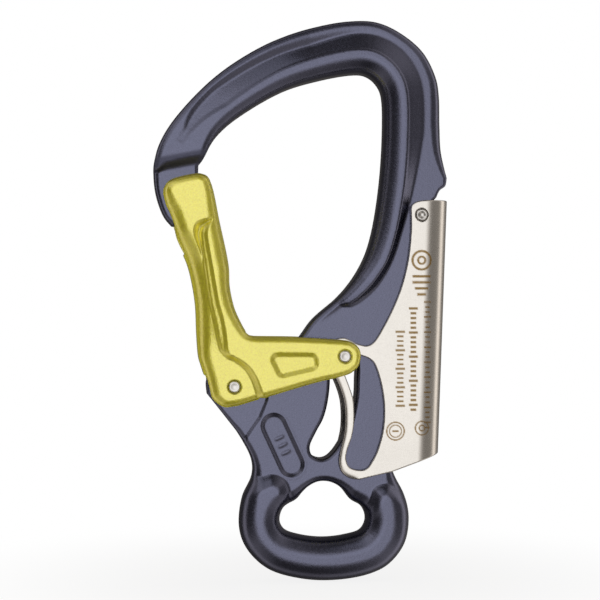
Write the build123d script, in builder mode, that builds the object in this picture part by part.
from build123d import *
import math
import os

# Eye hook with a palm-squeeze latch, millimetres.
# Frame: origin at the centre of the eye, +Z up the hook to the crown, +X from the nose
# side to the spine side, +Y from the front face to the back face. Symmetric about Y = 0,
# apart from the springs. A "half" is measured along Y from that middle plane.
# Angles run anticlockwise from +X, seen from the front, unless said otherwise.

# ---- body ---------------------------------------------------------------------------
BAR_HALF = 5.75          # hook bar
RING_HALF = 5.1          # eye ring
CHANNEL_HALF = 4.1       # floor of the crown channel
TONGUE_HALF = 3.9        # nose inside the fork
WEB_HALF = 3.5           # forged web
EAR_HALF = 3.1           # ear that carries the gate
EAR_RADIUS = 6.5         # ear round the gate rivet
EAR_ARC = (196, 115, 34)  # start, middle and end directions of the ear's arc
CROWN_ROUND = 1.0        # rounding of the outer edges from the nose over the crown
OVAL_RADIUS = 2.75       # ends of the oval pocket
OVAL_DEPTH = 0.6         # oval pocket below the web

# ---- gate ---------------------------------------------------------------------------
GATE_HALF = 6.7          # over the fork and the catch arm
GATE_LOW_HALF = 5.0      # over the pivot cheeks and the groove
ARM_INNER_HALF = 5.1     # inside the catch arm, clear of the lever
CHEEK_INNER_HALF = 3.25  # inside the pivot cheeks, clear of the ear
FORK_HALF = 4.1          # slot that takes the nose
CHEEK_RADIUS = 6.9       # pivot cheeks round the gate rivet
CORE_RADIUS = 7.6        # end of the solid core above the ear
CORE_ANGLE = 78.0        # last direction of the core from the gate rivet
CORE_REACH = 26.0        # how far the room in the catch arm runs along that direction
ARM_ROOM_RIGHT = 45      # reach of that room from the gate rivet, towards +X
ARM_ROOM_LEFT = 4        # towards -X
ARM_ROOM_DOWN = 15       # towards -Z
GATE_ROUND = 1.2         # rounding of the outer edges
POCKET_DEPTH = 0.7       # shallow pocket in the catch arm

# ---- lever --------------------------------------------------------------------------
SHEET = 1.2              # sheet thickness
LEVER_HALF = 4.9         # over the side plates
LEVER_INNER = LEVER_HALF - SHEET
FOLD_DEPTH = 40          # depth of the folded blank, before its outline is cut
FOLD_REACH = 90          # length of the blank each way
TRIM_X = 40              # outline drawn out to here, beyond the rolled edge
TRIM_RISE = 3.4          # rise of the outline's lower edge out to TRIM_X

# ---- rivets -------------------------------------------------------------------------
PIN_RADIUS = 1.55
RUN_CLEAR = 0.06         # radial clearance where a part turns on a rivet
FIXED_CLEAR = 0.02       # radial clearance where a rivet is held
SLOT_CLEAR = 0.17        # clearance round the catch rivet in the window
RIVET_CHAMFER = 0.2
CATCH_SUNK = 0.05        # catch rivet's ends below the gate's faces

GATE_PIVOT = (-22.48, 31.1)    # X, Z of the gate rivet
CATCH = (4.78, 38.56)          # X, Z of the catch rivet with the gate shut
LEVER_PIVOT = (24.28, 73.71)   # X, Z of the lever rivet

# ---- movement -----------------------------------------------------------------------
GATE_OPEN = 38.0         # gate travel, degrees clockwise
SQUEEZE_RATIO = 0.21     # lever travel per degree of gate travel
TRAVEL_STEPS = 19        # steps along the catch rivet's path

# ---- springs ------------------------------------------------------------------------
GATE_WIRE_RADIUS = 0.35
GATE_COIL_RADIUS = 2.3   # mean
LEVER_WIRE_RADIUS = 0.3
LEVER_COIL_RADIUS = 2.05  # mean
GATE_COIL_CLEAR = 0.35   # round the gate spring's coil
LEVER_COIL_CLEAR = 0.3   # round the lever spring's coil
SPRING_SLOT = 1.5        # half width of the spring slots
LEVER_LEG_SLOT = 1.35    # half width of the slot for the lever spring's legs
SPRING_HALF = 0.85       # the wire's middle runs from -Y to +Y by this much
FULL_TURNS = 720         # whole turns added to each coil, degrees
LEG_POINTS = 8           # spline points along each leg

# Ends of the spring legs, X, Z from their rivet: front leg, then back leg
GATE_LEGS = ((-3.5, 11.6), (8.6, -GATE_COIL_RADIUS))
LEVER_LEGS = ((4.87, -12.0), (-0.9, -11.8))

# ---- tool depths, all past the metal they cut ---------------------------------------
LET_IN_DEPTH = 8.0
OVAL_TOOL_DEPTH = 4.0
THROUGH = 12.0           # half length of a cut through body or gate
LEVER_THROUGH = 9        # half length of a cut through the lever

# ---- outlines: X, Z. Runs of one outline share their end points ---------------------
# Body, outer edge from the nose tip over the crown to the heel
BODY_CROWN = [
    (-37.72, 70.73), (-39.5, 72.83), (-40.93, 76.04), (-41.97, 80.25), (-42.24, 85.2), (-41.95, 87.43),
    (-40.88, 90.89), (-38.19, 95.65), (-31.97, 103.02), (-25.26, 109.07), (-16.78, 114.6), (-10.27, 117.7),
    (-3.23, 120.09), (6.1, 121.98), (13.19, 121.9), (19.42, 119.29), (25.15, 114.57), (28.47, 108.22),
    (29.27, 103.94), (29.47, 96.63), (29.68, 90.08), (30.52, 85.29), (31.03, 83.03),
]

# Body, heel notch that stops the top of the lever
BODY_HEEL = [
    (31.03, 83.03), (30.55, 81.01), (29.24, 80.06), (28.6, 78.97), (28.27, 78.14), (27.5, 77.3),
    (27.25, 75.69),
]

# Body, neck and outside of the eye ring, round towards the pivot ear
BODY_RING = [
    (16.6, 13.53), (16.85, 11.27), (17.89, 8.74), (20.56, 3.48), (21.66, -2.12), (20.56, -8.55),
    (16.67, -13.62), (11.92, -16.05), (3.57, -17.49), (-5.5, -17.05), (-14.03, -14.36), (-19.28, -9.19),
    (-21.03, -4.03), (-20.33, 3.18), (-17.93, 8.63), (-17.9, 12.62), (-21.03, 18.88), (-23.82, 22.63),
]

# Body, throat edge from the ear up the spine, under the crown and back to the nose
BODY_THROAT = [
    (-14.28, 35.94), (-11.25, 38.17), (-8.34, 40.53), (-6, 43.15), (-2.73, 47.57), (2.82, 52.35),
    (5.42, 55.01), (8.2, 58.77), (10.73, 63.8), (12.56, 70.33), (14.31, 82.15), (15.07, 94.47),
    (14.92, 102.76), (14.31, 105.26), (12.68, 107.5), (10.4, 108.83), (7.36, 108.98), (-1.22, 107.41),
    (-10.27, 104.52), (-22.2, 97.32), (-26.51, 93.34), (-29.99, 87.41), (-31.25, 85.79),
]

# Body, end of the nose that sits in the gate's fork
BODY_TONGUE = [
    (-31.25, 85.79), (-31.4, 82.31), (-32.1, 76.59), (-33.58, 72.86), (-35.57, 70.86), (-37.72, 70.73),
]

# Eye opening
EYE_HOLE = [
    (-1.51, 7.27), (0.75, 7.35), (2.75, 6.72), (4.58, 5.41), (6.8, 2.64), (9.54, 0.86),
    (10.62, -2.15), (9.41, -4.88), (5.51, -6.17), (-0.26, -6.73), (-6.01, -6), (-9.76, -4.6),
    (-10.93, -2.35), (-10.01, 0.86), (-6.76, 2.81), (-5.26, 4.75), (-3.76, 6.18),
]

# Cut-out through the web
CUT_OUT = [
    (1.44, 31.61), (0.81, 26.64), (-0.27, 22.92), (-2.07, 19.58), (-3.59, 15.99), (-3.09, 14),
    (-1.07, 12.99), (0.56, 13.34), (1.94, 14.95), (3.57, 17.42), (5.57, 19.89), (6.95, 22.62),
    (7.96, 26.1), (8.59, 29.08), (8.79, 32.57), (8.59, 36.06), (7.46, 39.3), (5.2, 40.8),
    (2.94, 40.56), (1.69, 38.57), (1.44, 35.59),
]

# Region forged down to the web thickness, so that the lever straddles it
WEB_ZONE = [
    (34.88, 81.29), (31.03, 80.76), (19.98, 79.95), (19.47, 74.46), (17.45, 67.46), (14.93, 59.98),
    (11.31, 54.49), (8.89, 51.5), (6.38, 50.26), (4.63, 49.77), (-0.63, 53), (-9.85, 44.33),
    (-21.02, 39.66), (-35.81, 39.7), (-35.81, 20.51), (-22.01, 12.5), (-19.53, 10.5), (-15.57, 8.72),
    (-13.09, 9.19), (-9.36, 7.17), (-8.61, 4.93), (-8.86, 3.2), (-6.87, 0.95), (-1.13, 2.86),
    (5.13, 2.03), (8.89, 0.49), (11.66, 2.95), (11.79, 3.94), (12.51, 5.43), (13.92, 6.26),
    (16.12, 6.63), (17.96, 5.86), (20.99, 8.07), (34.17, 9.93),
]

# Region of the nose milled down to fit the fork
TONGUE_ZONE = [
    (-46.83, 83.39), (-41.28, 84.17), (-32.51, 85.86), (-27.71, 86.99), (-26.48, 66.05), (-46.83, 65.98),
]

# Region of the ear milled down for the gate's cheeks
EAR_ZONE = [
    (-35.79, 42.65), (-15.53, 39.63), (-14.54, 36.16), (-14.04, 31.45), (-14.29, 27.74), (-16.03, 23.54),
    (-18.51, 19.95), (-22.23, 14.19), (-35.79, 18.02),
]

# Region of the eye ring, a little thinner than the hook bar
RING_ZONE = [(-30, 9), (30, 9), (30, -30), (-30, -30)]

# Forged channel along the crown and the spine
CHANNEL = [
    (-33.14, 94.01), (-30.2, 99.7), (-23.06, 106.31), (-9.95, 113.4), (0, 116.65), (8, 118.39),
    (12.77, 118.1), (17.29, 116.19), (21.82, 112.52), (24.85, 107.83), (26.12, 102.86), (26.37, 94.89),
    (26.62, 89.9), (26.62, 85.41), (24.85, 81.16), (19.81, 79.88), (21.07, 87.36), (21.82, 94.59),
    (21.82, 102.31), (20.82, 106.28), (18.55, 110.48), (14.27, 113.65), (8.75, 114.81), (-2.49, 112.28),
    (-10.69, 109.81), (-22.32, 103.49), (-29.71, 97),
]

# Centres of the oval pocket's ends
OVAL_ENDS = [(-12.94, 21.3), (-8.59, 11.85)]

# Gate, up the outside of the fork and down the throat side
GATE_UPPER = [
    (-39.43, 75.46), (-39.99, 78.63), (-39.72, 80.22), (-38.82, 81.57), (-37.36, 82.41), (-31.72, 83.66),
    (-30.49, 83.54), (-29.15, 82.94), (-28.03, 80.76), (-26.03, 71.68), (-24.14, 63.08), (-23.72, 60.13),
    (-23.57, 55.94), (-22.83, 52.01), (-22.05, 49.55), (-19.5, 44.62), (-18.62, 43.88), (-16.91, 43.53),
]

# Gate, top of the catch arm
GATE_ARM_TOP = [(-16.91, 43.53), (-5.58, 43.3), (4.12, 42.68)]

# Gate, end of the catch arm
GATE_TIP = [
    (4.12, 42.68), (6.15, 42.25), (8.15, 40.88), (8.8, 39.37), (8.7, 37.38), (8.15, 35.9),
    (7.35, 35.16), (6.15, 34.25), (2.41, 33.08),
]

# Gate, underside of the catch arm
GATE_ARM_BOTTOM = [(2.41, 33.08), (-1.05, 32.37), (-21.61, 26.32)]

# Gate, heel round the pivot and up the outside
GATE_OUTER = [
    (-21.61, 26.32), (-24.82, 25.97), (-26.29, 26.57), (-27.5, 27.44), (-28.21, 28.43), (-28.9, 30.89),
    (-29.34, 32.85), (-29.93, 36.26), (-31.03, 38.06), (-31.64, 43.71), (-31.97, 51.24), (-32.82, 56.77),
    (-33.98, 61.29), (-35.82, 65.65), (-37.41, 70.12), (-38.51, 73.26), (-39.43, 75.46),
]

# Gate, region let down to the pivot cheek, with the groove that runs up from it
GATE_LOW = [
    (-32.47, 69.88), (-31.73, 71.6), (-30.51, 72.34), (-27.81, 72.6), (-28.3, 70.15), (-27.57, 65.98),
    (-26.47, 57.4), (-25.12, 47.59), (-24.13, 40.23), (-23.77, 38.39), (-22.59, 37.53), (-20.45, 35.92),
    (-18.23, 33.09), (-16.87, 30.87), (-16.01, 29.14), (-15.52, 27.42), (-15.52, 22.99), (-34.67, 21.91),
    (-35.89, 42.71), (-33.2, 52.5), (-32.47, 62.29),
]

# Gate, shallow pocket in the catch arm
GATE_POCKET = [(-13.35, 38.86), (-3.34, 38.58), (-3.34, 36.12), (-11.62, 33.82)]

# Gate, slot that takes the nose
FORK = [
    (-45.57, 89.63), (-31.1, 89.76), (-30.98, 86.04), (-30.36, 82.32), (-29.49, 77.35), (-27.5, 68.16),
    (-35.44, 63.42), (-45.57, 61.91),
]

# Lever, top of the side plate
LEVER_TOP = [(21.5, 75.14), (21.76, 76.01), (22.76, 76.89), (24.53, 77.32), (28.06, 77.45)]

# Lever, bottom edge
LEVER_BOTTOM = [(28.19, 13.75), (24.28, 12.42), (16.85, 9.76), (8.45, 7.91)]

# Lever, hooked arm, head round the catch rivet and inner edge of the side plate
LEVER_INNER_EDGE = [
    (8.45, 7.91), (6.95, 8.05), (5.7, 8.51), (4.57, 9.32), (3.87, 10.39), (3.45, 12.38),
    (3.75, 14.85), (4.85, 19.8), (5, 24.75), (4.52, 28.22), (2.87, 32.69), (1.2, 35.67),
    (0.53, 38.39), (0.95, 40.99), (2.45, 42.6), (4.45, 43.14), (6.2, 42.59), (7.95, 41.69),
    (10.45, 41.16), (12.13, 41.93), (14.66, 45.79), (17.48, 51.48), (19.24, 56.08), (20.82, 62.7),
    (21.55, 69.92), (21.5, 75.14),
]

# Lever, curved window that the catch rivet travels in
LEVER_WINDOW = [
    (5.55, 33.67), (6.32, 31.68), (7.07, 27.96), (7.3, 22.75), (6.75, 18.79), (5.5, 15.08),
    (5.25, 13.1), (6.02, 11.11), (7.45, 10.43), (9.45, 10.28), (10.7, 10.82), (11.58, 12.05),
    (12.88, 14.52), (14.36, 19.47), (14.84, 24.93), (14.34, 30.15), (13.13, 34.87), (12.08, 37.11),
    (10.7, 38.11), (8.95, 38.74), (6.7, 39.61), (4.95, 39.62), (4.57, 37.64),
]

# Lever, top and bottom of the line of its rolled edge, on the +X side
ROLL_TOP, ROLL_BOTTOM = (31.42, 76.97), (29.11, 13.41)

# ---- outlines round the gate rivet: radius, direction -------------------------------
# Slot in the ear for the gate spring, open towards the gate's core
EAR_SLOT = [(2.9, 182), (9.0, 172), (10.0, 110), (9.0, 52), (2.9, 0)]

# Room for the ear below the gate's core
EAR_ROOM = [(0, 0), (20, -4), (20, -100), (20, 190), (CORE_RADIUS, 176)]

# Groove in the gate's core for the spring's moving leg
CORE_GROOVE = [(5, 125), (15, 111), (15, 101), (5, 95)]

# ---- outlines from a rivet: X, Z offsets --------------------------------------------
# Groove in the ear for the gate spring's standing leg
EAR_GROOVE = [(0, -3.05), (9.5, -3.05), (9.5, -1.75), (0, -1.75)]

# Slot in the +X side of the spine for the lever spring's coil, and the one for its legs
SPINE_SLOT = [(-0.6, 2.65), (6, 2.65), (6, -3.2), (-0.6, -2.65)]
SPINE_LEG_SLOT = [(-2.5, 0.5), (-2.5, -4.0), (-1.5, -12.4), (3.0, -12.4), (4.0, 0)]


def turned(centre, point, degrees):
    """Point turned clockwise about centre, seen from the front."""
    angle = math.radians(degrees)
    x, z = point[0] - centre[0], point[1] - centre[1]
    return (
        centre[0] + x * math.cos(angle) + z * math.sin(angle),
        centre[1] - x * math.sin(angle) + z * math.cos(angle),
    )


def on_circle(centre, radius, degrees):
    angle = math.radians(degrees)
    return (centre[0] + radius * math.cos(angle), centre[1] + radius * math.sin(angle))


def polar(centre, rows):
    """Points from rows of radius and direction about centre."""
    return [on_circle(centre, radius, degrees) for radius, degrees in rows]


def shifted(centre, offsets):
    return [(centre[0] + x, centre[1] + z) for x, z in offsets]


# The cutters below build their own sketch and cut it from the part that is open.

def let_in(points, level):
    """Cut an outlined region down to a level on both faces."""
    for side in (1, -1):  # front, back
        with BuildSketch(Plane.XZ.offset(side * level)) as region:
            with BuildLine():
                Polyline(*points, close=True)
            make_face()
        extrude(region.sketch, amount=side * LET_IN_DEPTH, mode=Mode.SUBTRACT)


def let_in_slot(ends, radius, level):
    """Cut a round-ended pocket down to a level on both faces."""
    (start_x, start_z), (end_x, end_z) = ends
    middle = ((start_x + end_x) / 2, (start_z + end_z) / 2)
    slope = math.degrees(math.atan2(end_z - start_z, end_x - start_x))
    for side in (1, -1):  # front, back
        with BuildSketch(Plane.XZ.offset(side * level)) as region:
            with Locations(Location(middle, slope)):
                SlotCenterToCenter(math.dist(*ends), 2 * radius)
        extrude(region.sketch, amount=side * OVAL_TOOL_DEPTH, mode=Mode.SUBTRACT)


def cut_middle(points, half):
    """Cut an outlined slot, centred on the middle plane."""
    with BuildSketch(Plane.XZ) as region:
        with BuildLine():
            Polyline(*points, close=True)
        make_face()
    extrude(region.sketch, amount=half, both=True, mode=Mode.SUBTRACT)


def bore(centre, radius, half=THROUGH):
    """Cut a round hole, centred on the middle plane."""
    with BuildSketch(Plane.XZ) as region:
        with Locations(centre):
            Circle(radius)
    extrude(region.sketch, amount=half, both=True, mode=Mode.SUBTRACT)


def make_body():
    """One forging with hook, spine, web, ear and eye ring."""
    ear_start, ear_top, ear_end = (on_circle(GATE_PIVOT, EAR_RADIUS, way) for way in EAR_ARC)
    with BuildPart() as body:
        with BuildSketch(Plane.XZ):
            with BuildLine():
                Spline(*BODY_CROWN)
                Spline(*BODY_HEEL)
                Line(BODY_HEEL[-1], BODY_RING[0])
                Spline(*BODY_RING, ear_start)
                ThreePointArc(ear_start, ear_top, ear_end)
                Spline(ear_end, *BODY_THROAT)
                Spline(*BODY_TONGUE)
            make_face()
        extrude(amount=BAR_HALF, both=True)
        # The throat's two edges are the longest and the crown's two come next. The crown's
        # are rounded before anything is let in.
        rims = body.faces().filter_by(Axis.Y).edges().filter_by(GeomType.BSPLINE)
        fillet(rims.sort_by(SortBy.LENGTH)[-4:-2], CROWN_ROUND)
        let_in(CHANNEL, CHANNEL_HALF)
        let_in(TONGUE_ZONE, TONGUE_HALF)
        let_in(WEB_ZONE, WEB_HALF)
        let_in(EAR_ZONE, EAR_HALF)
        let_in(RING_ZONE, RING_HALF)
        with BuildSketch(Plane.XZ):
            for outline in (CUT_OUT, EYE_HOLE):
                with BuildLine():
                    Spline(*outline, periodic=True)
                make_face()
        extrude(amount=THROUGH, both=True, mode=Mode.SUBTRACT)
        let_in_slot(OVAL_ENDS, OVAL_RADIUS, WEB_HALF - OVAL_DEPTH)
        bore(GATE_PIVOT, PIN_RADIUS + FIXED_CLEAR)
        bore(LEVER_PIVOT, PIN_RADIUS + FIXED_CLEAR)
        # gate spring's slot and the groove for its standing leg
        with BuildSketch(Plane.XZ):
            with Locations(GATE_PIVOT):
                Circle(GATE_COIL_RADIUS + GATE_WIRE_RADIUS + GATE_COIL_CLEAR)
            with BuildLine():
                Polyline(*polar(GATE_PIVOT, EAR_SLOT), close=True)
            make_face()
        extrude(amount=SPRING_SLOT, both=True, mode=Mode.SUBTRACT)
        cut_middle(shifted(GATE_PIVOT, EAR_GROOVE), SPRING_SLOT)
        # lever spring's slot and the one for its legs
        with BuildSketch(Plane.XZ):
            with Locations(LEVER_PIVOT):
                Circle(LEVER_COIL_RADIUS + LEVER_WIRE_RADIUS + LEVER_COIL_CLEAR)
            with BuildLine():
                Polyline(*shifted(LEVER_PIVOT, SPINE_SLOT), close=True)
            make_face()
        extrude(amount=SPRING_SLOT, both=True, mode=Mode.SUBTRACT)
        cut_middle(shifted(LEVER_PIVOT, SPINE_LEG_SLOT), LEVER_LEG_SLOT)
    body.part.label = "body"
    return body.part


def make_gate():
    """L-shaped gate, forked over the nose and split over the ear."""
    pivot_x, pivot_z = GATE_PIVOT
    core_end = on_circle(GATE_PIVOT, CORE_REACH, CORE_ANGLE)
    with BuildPart() as gate:
        with BuildSketch(Plane.XZ):
            with BuildLine():
                for run in (GATE_UPPER, GATE_ARM_TOP, GATE_TIP, GATE_ARM_BOTTOM, GATE_OUTER):
                    Spline(*run)
            make_face()
        extrude(amount=GATE_HALF, both=True)
        fillet(gate.faces().filter_by(Axis.Y).edges(), GATE_ROUND)
        let_in(GATE_LOW, GATE_LOW_HALF)
        let_in(GATE_POCKET, GATE_HALF - POCKET_DEPTH)
        # room for the lever and the web inside the catch arm
        with BuildSketch(Plane.XZ):
            with BuildLine():
                Polyline(
                    GATE_PIVOT,
                    core_end,
                    (pivot_x + ARM_ROOM_RIGHT, core_end[1]),
                    (pivot_x + ARM_ROOM_RIGHT, pivot_z - ARM_ROOM_DOWN),
                    (pivot_x - ARM_ROOM_LEFT, pivot_z - ARM_ROOM_DOWN),
                    close=True,
                )
            make_face()
            with Locations(GATE_PIVOT):
                Circle(CHEEK_RADIUS, mode=Mode.SUBTRACT)
        extrude(amount=ARM_INNER_HALF, both=True, mode=Mode.SUBTRACT)
        # room for the ear between the pivot cheeks
        bore(GATE_PIVOT, CORE_RADIUS, CHEEK_INNER_HALF)
        cut_middle(polar(GATE_PIVOT, EAR_ROOM), CHEEK_INNER_HALF)
        cut_middle(FORK, FORK_HALF)
        cut_middle(polar(GATE_PIVOT, CORE_GROOVE), SPRING_SLOT)
        bore(GATE_PIVOT, PIN_RADIUS + RUN_CLEAR)
        bore(CATCH, PIN_RADIUS + FIXED_CLEAR)
    gate.part.label = "gate"
    return gate.part


def catch_path():
    """Path of the catch rivet as the lever sees it, from shut to fully open."""
    path = []
    for i in range(TRAVEL_STEPS + 1):
        travel = GATE_OPEN * i / TRAVEL_STEPS
        catch = turned(GATE_PIVOT, CATCH, travel)
        path.append(turned(LEVER_PIVOT, catch, -SQUEEZE_RATIO * travel))
    return path


def band(path, half_width):
    """Closed outline of a band that follows the path."""
    left_side, right_side = [], []
    for i, (x, z) in enumerate(path):
        before, after = path[max(i - 1, 0)], path[min(i + 1, len(path) - 1)]
        length = math.dist(before, after)
        normal_x = -(after[1] - before[1]) / length
        normal_z = (after[0] - before[0]) / length
        left_side.append((x + normal_x * half_width, z + normal_z * half_width))
        right_side.append((x - normal_x * half_width, z - normal_z * half_width))
    return left_side + right_side[::-1]


def make_lever():
    """Folded sheet, rolled round the +X side of the spine."""
    tilt = math.atan2(ROLL_TOP[0] - ROLL_BOTTOM[0], ROLL_TOP[1] - ROLL_BOTTOM[1])
    fold_plane = Plane(
        origin=(ROLL_BOTTOM[0], 0, ROLL_BOTTOM[1]),
        x_dir=(math.cos(tilt), 0, -math.sin(tilt)),
        z_dir=(math.sin(tilt), 0, math.cos(tilt)),
    )
    path = catch_path()
    slot_radius = PIN_RADIUS + SLOT_CLEAR
    outer, inner = LEVER_HALF, LEVER_INNER
    with BuildPart() as lever:
        # U-shaped section of the sheet, its roll starting one half width in
        with BuildSketch(fold_plane):
            with BuildLine():
                Polyline((-FOLD_DEPTH, -inner), (-FOLD_DEPTH, -outer), (-outer, -outer))
                ThreePointArc((-outer, -outer), (0, 0), (-outer, outer))
                Polyline(
                    (-outer, outer), (-FOLD_DEPTH, outer), (-FOLD_DEPTH, inner), (-outer, inner)
                )
                ThreePointArc((-outer, inner), (-SHEET, 0), (-outer, -inner))
                Line((-outer, -inner), (-FOLD_DEPTH, -inner))
            make_face()
        extrude(amount=FOLD_REACH, both=True)
        # outline of the side plates
        with BuildSketch(Plane.XZ):
            with BuildLine():
                Polyline(
                    *LEVER_TOP,
                    (TRIM_X, LEVER_TOP[-1][1]),
                    (TRIM_X, LEVER_BOTTOM[0][1] + TRIM_RISE),
                    *LEVER_BOTTOM,
                )
                Spline(*LEVER_INNER_EDGE)
            make_face()
        extrude(amount=LEVER_THROUGH, both=True, mode=Mode.INTERSECT)
        # window, with room for the whole of the catch rivet's path
        with BuildSketch(Plane.XZ):
            with BuildLine():
                Spline(*LEVER_WINDOW, periodic=True)
            make_face()
            with BuildLine():
                Polyline(*band(path, slot_radius), close=True)
            make_face()
            with Locations(path[0], path[-1]):
                Circle(slot_radius)
        extrude(amount=LEVER_THROUGH, both=True, mode=Mode.SUBTRACT)
        bore(LEVER_PIVOT, PIN_RADIUS + RUN_CLEAR)
    lever.part.label = "lever"
    return lever.part


def make_rivet(label, centre, half):
    with BuildPart() as rivet:
        with BuildSketch(Plane.XZ):
            with Locations(centre):
                Circle(PIN_RADIUS)
        extrude(amount=half, both=True)
        chamfer(rivet.edges().filter_by(GeomType.CIRCLE), RIVET_CHAMFER)
    rivet.part.label = label
    return rivet.part


def tangent_angle(radius, leg, side):
    """Direction on a coil where a straight leg to an offset from the rivet leaves it."""
    return math.degrees(math.atan2(leg[1], leg[0]) + side * math.acos(radius / math.hypot(*leg)))


def leg_points(tip, root):
    """Points from the tip of a leg to just before its root on the coil."""
    return [
        tuple(tip[k] + (root[k] - tip[k]) * i / LEG_POINTS for k in range(3))
        for i in range(LEG_POINTS)
    ]


def make_spring(label, pivot, coil_radius, wire_radius, legs, steps):
    """Wound wire: a coil round its rivet, with a straight leg at its front and its back."""
    start = tangent_angle(coil_radius, legs[0], 1)
    winding = tangent_angle(coil_radius, legs[1], -1) + 360 - start + FULL_TURNS
    coil = []
    for i in range(steps + 1):
        x, z = on_circle(pivot, coil_radius, start + winding * i / steps)
        coil.append((x, -SPRING_HALF + 2 * SPRING_HALF * i / steps, z))
    (front_x, front_z), (back_x, back_z) = shifted(pivot, legs)
    front_leg = leg_points((front_x, -SPRING_HALF, front_z), coil[0])
    back_leg = leg_points((back_x, SPRING_HALF, back_z), coil[-1])
    with BuildPart() as spring:
        with BuildLine():
            wire = Spline(*front_leg, *coil, *reversed(back_leg))
        with BuildSketch(Plane(origin=wire @ 0, z_dir=wire % 0)):
            Circle(wire_radius)
        sweep()
    spring.part.label = label
    return spring.part


pieces = (
    make_body(),
    make_gate(),
    make_lever(),
    make_rivet("gate_pivot_rivet", GATE_PIVOT, GATE_LOW_HALF),
    make_rivet("catch_rivet", CATCH, GATE_HALF - CATCH_SUNK),
    make_rivet("lever_pivot_rivet", LEVER_PIVOT, LEVER_HALF),
    # front leg in the gate's core, back leg in the ear's groove
    make_spring(
        "gate_spring", GATE_PIVOT, GATE_COIL_RADIUS, GATE_WIRE_RADIUS, GATE_LEGS, steps=48
    ),
    # front leg against the inside of the lever's roll, back leg in the spine's slot
    make_spring(
        "lever_spring", LEVER_PIVOT, LEVER_COIL_RADIUS, LEVER_WIRE_RADIUS, LEVER_LEGS, steps=60
    ),
)

os.makedirs("parts", exist_ok=True)
for piece in pieces:
    export_step(piece, "parts/" + piece.label + ".step")
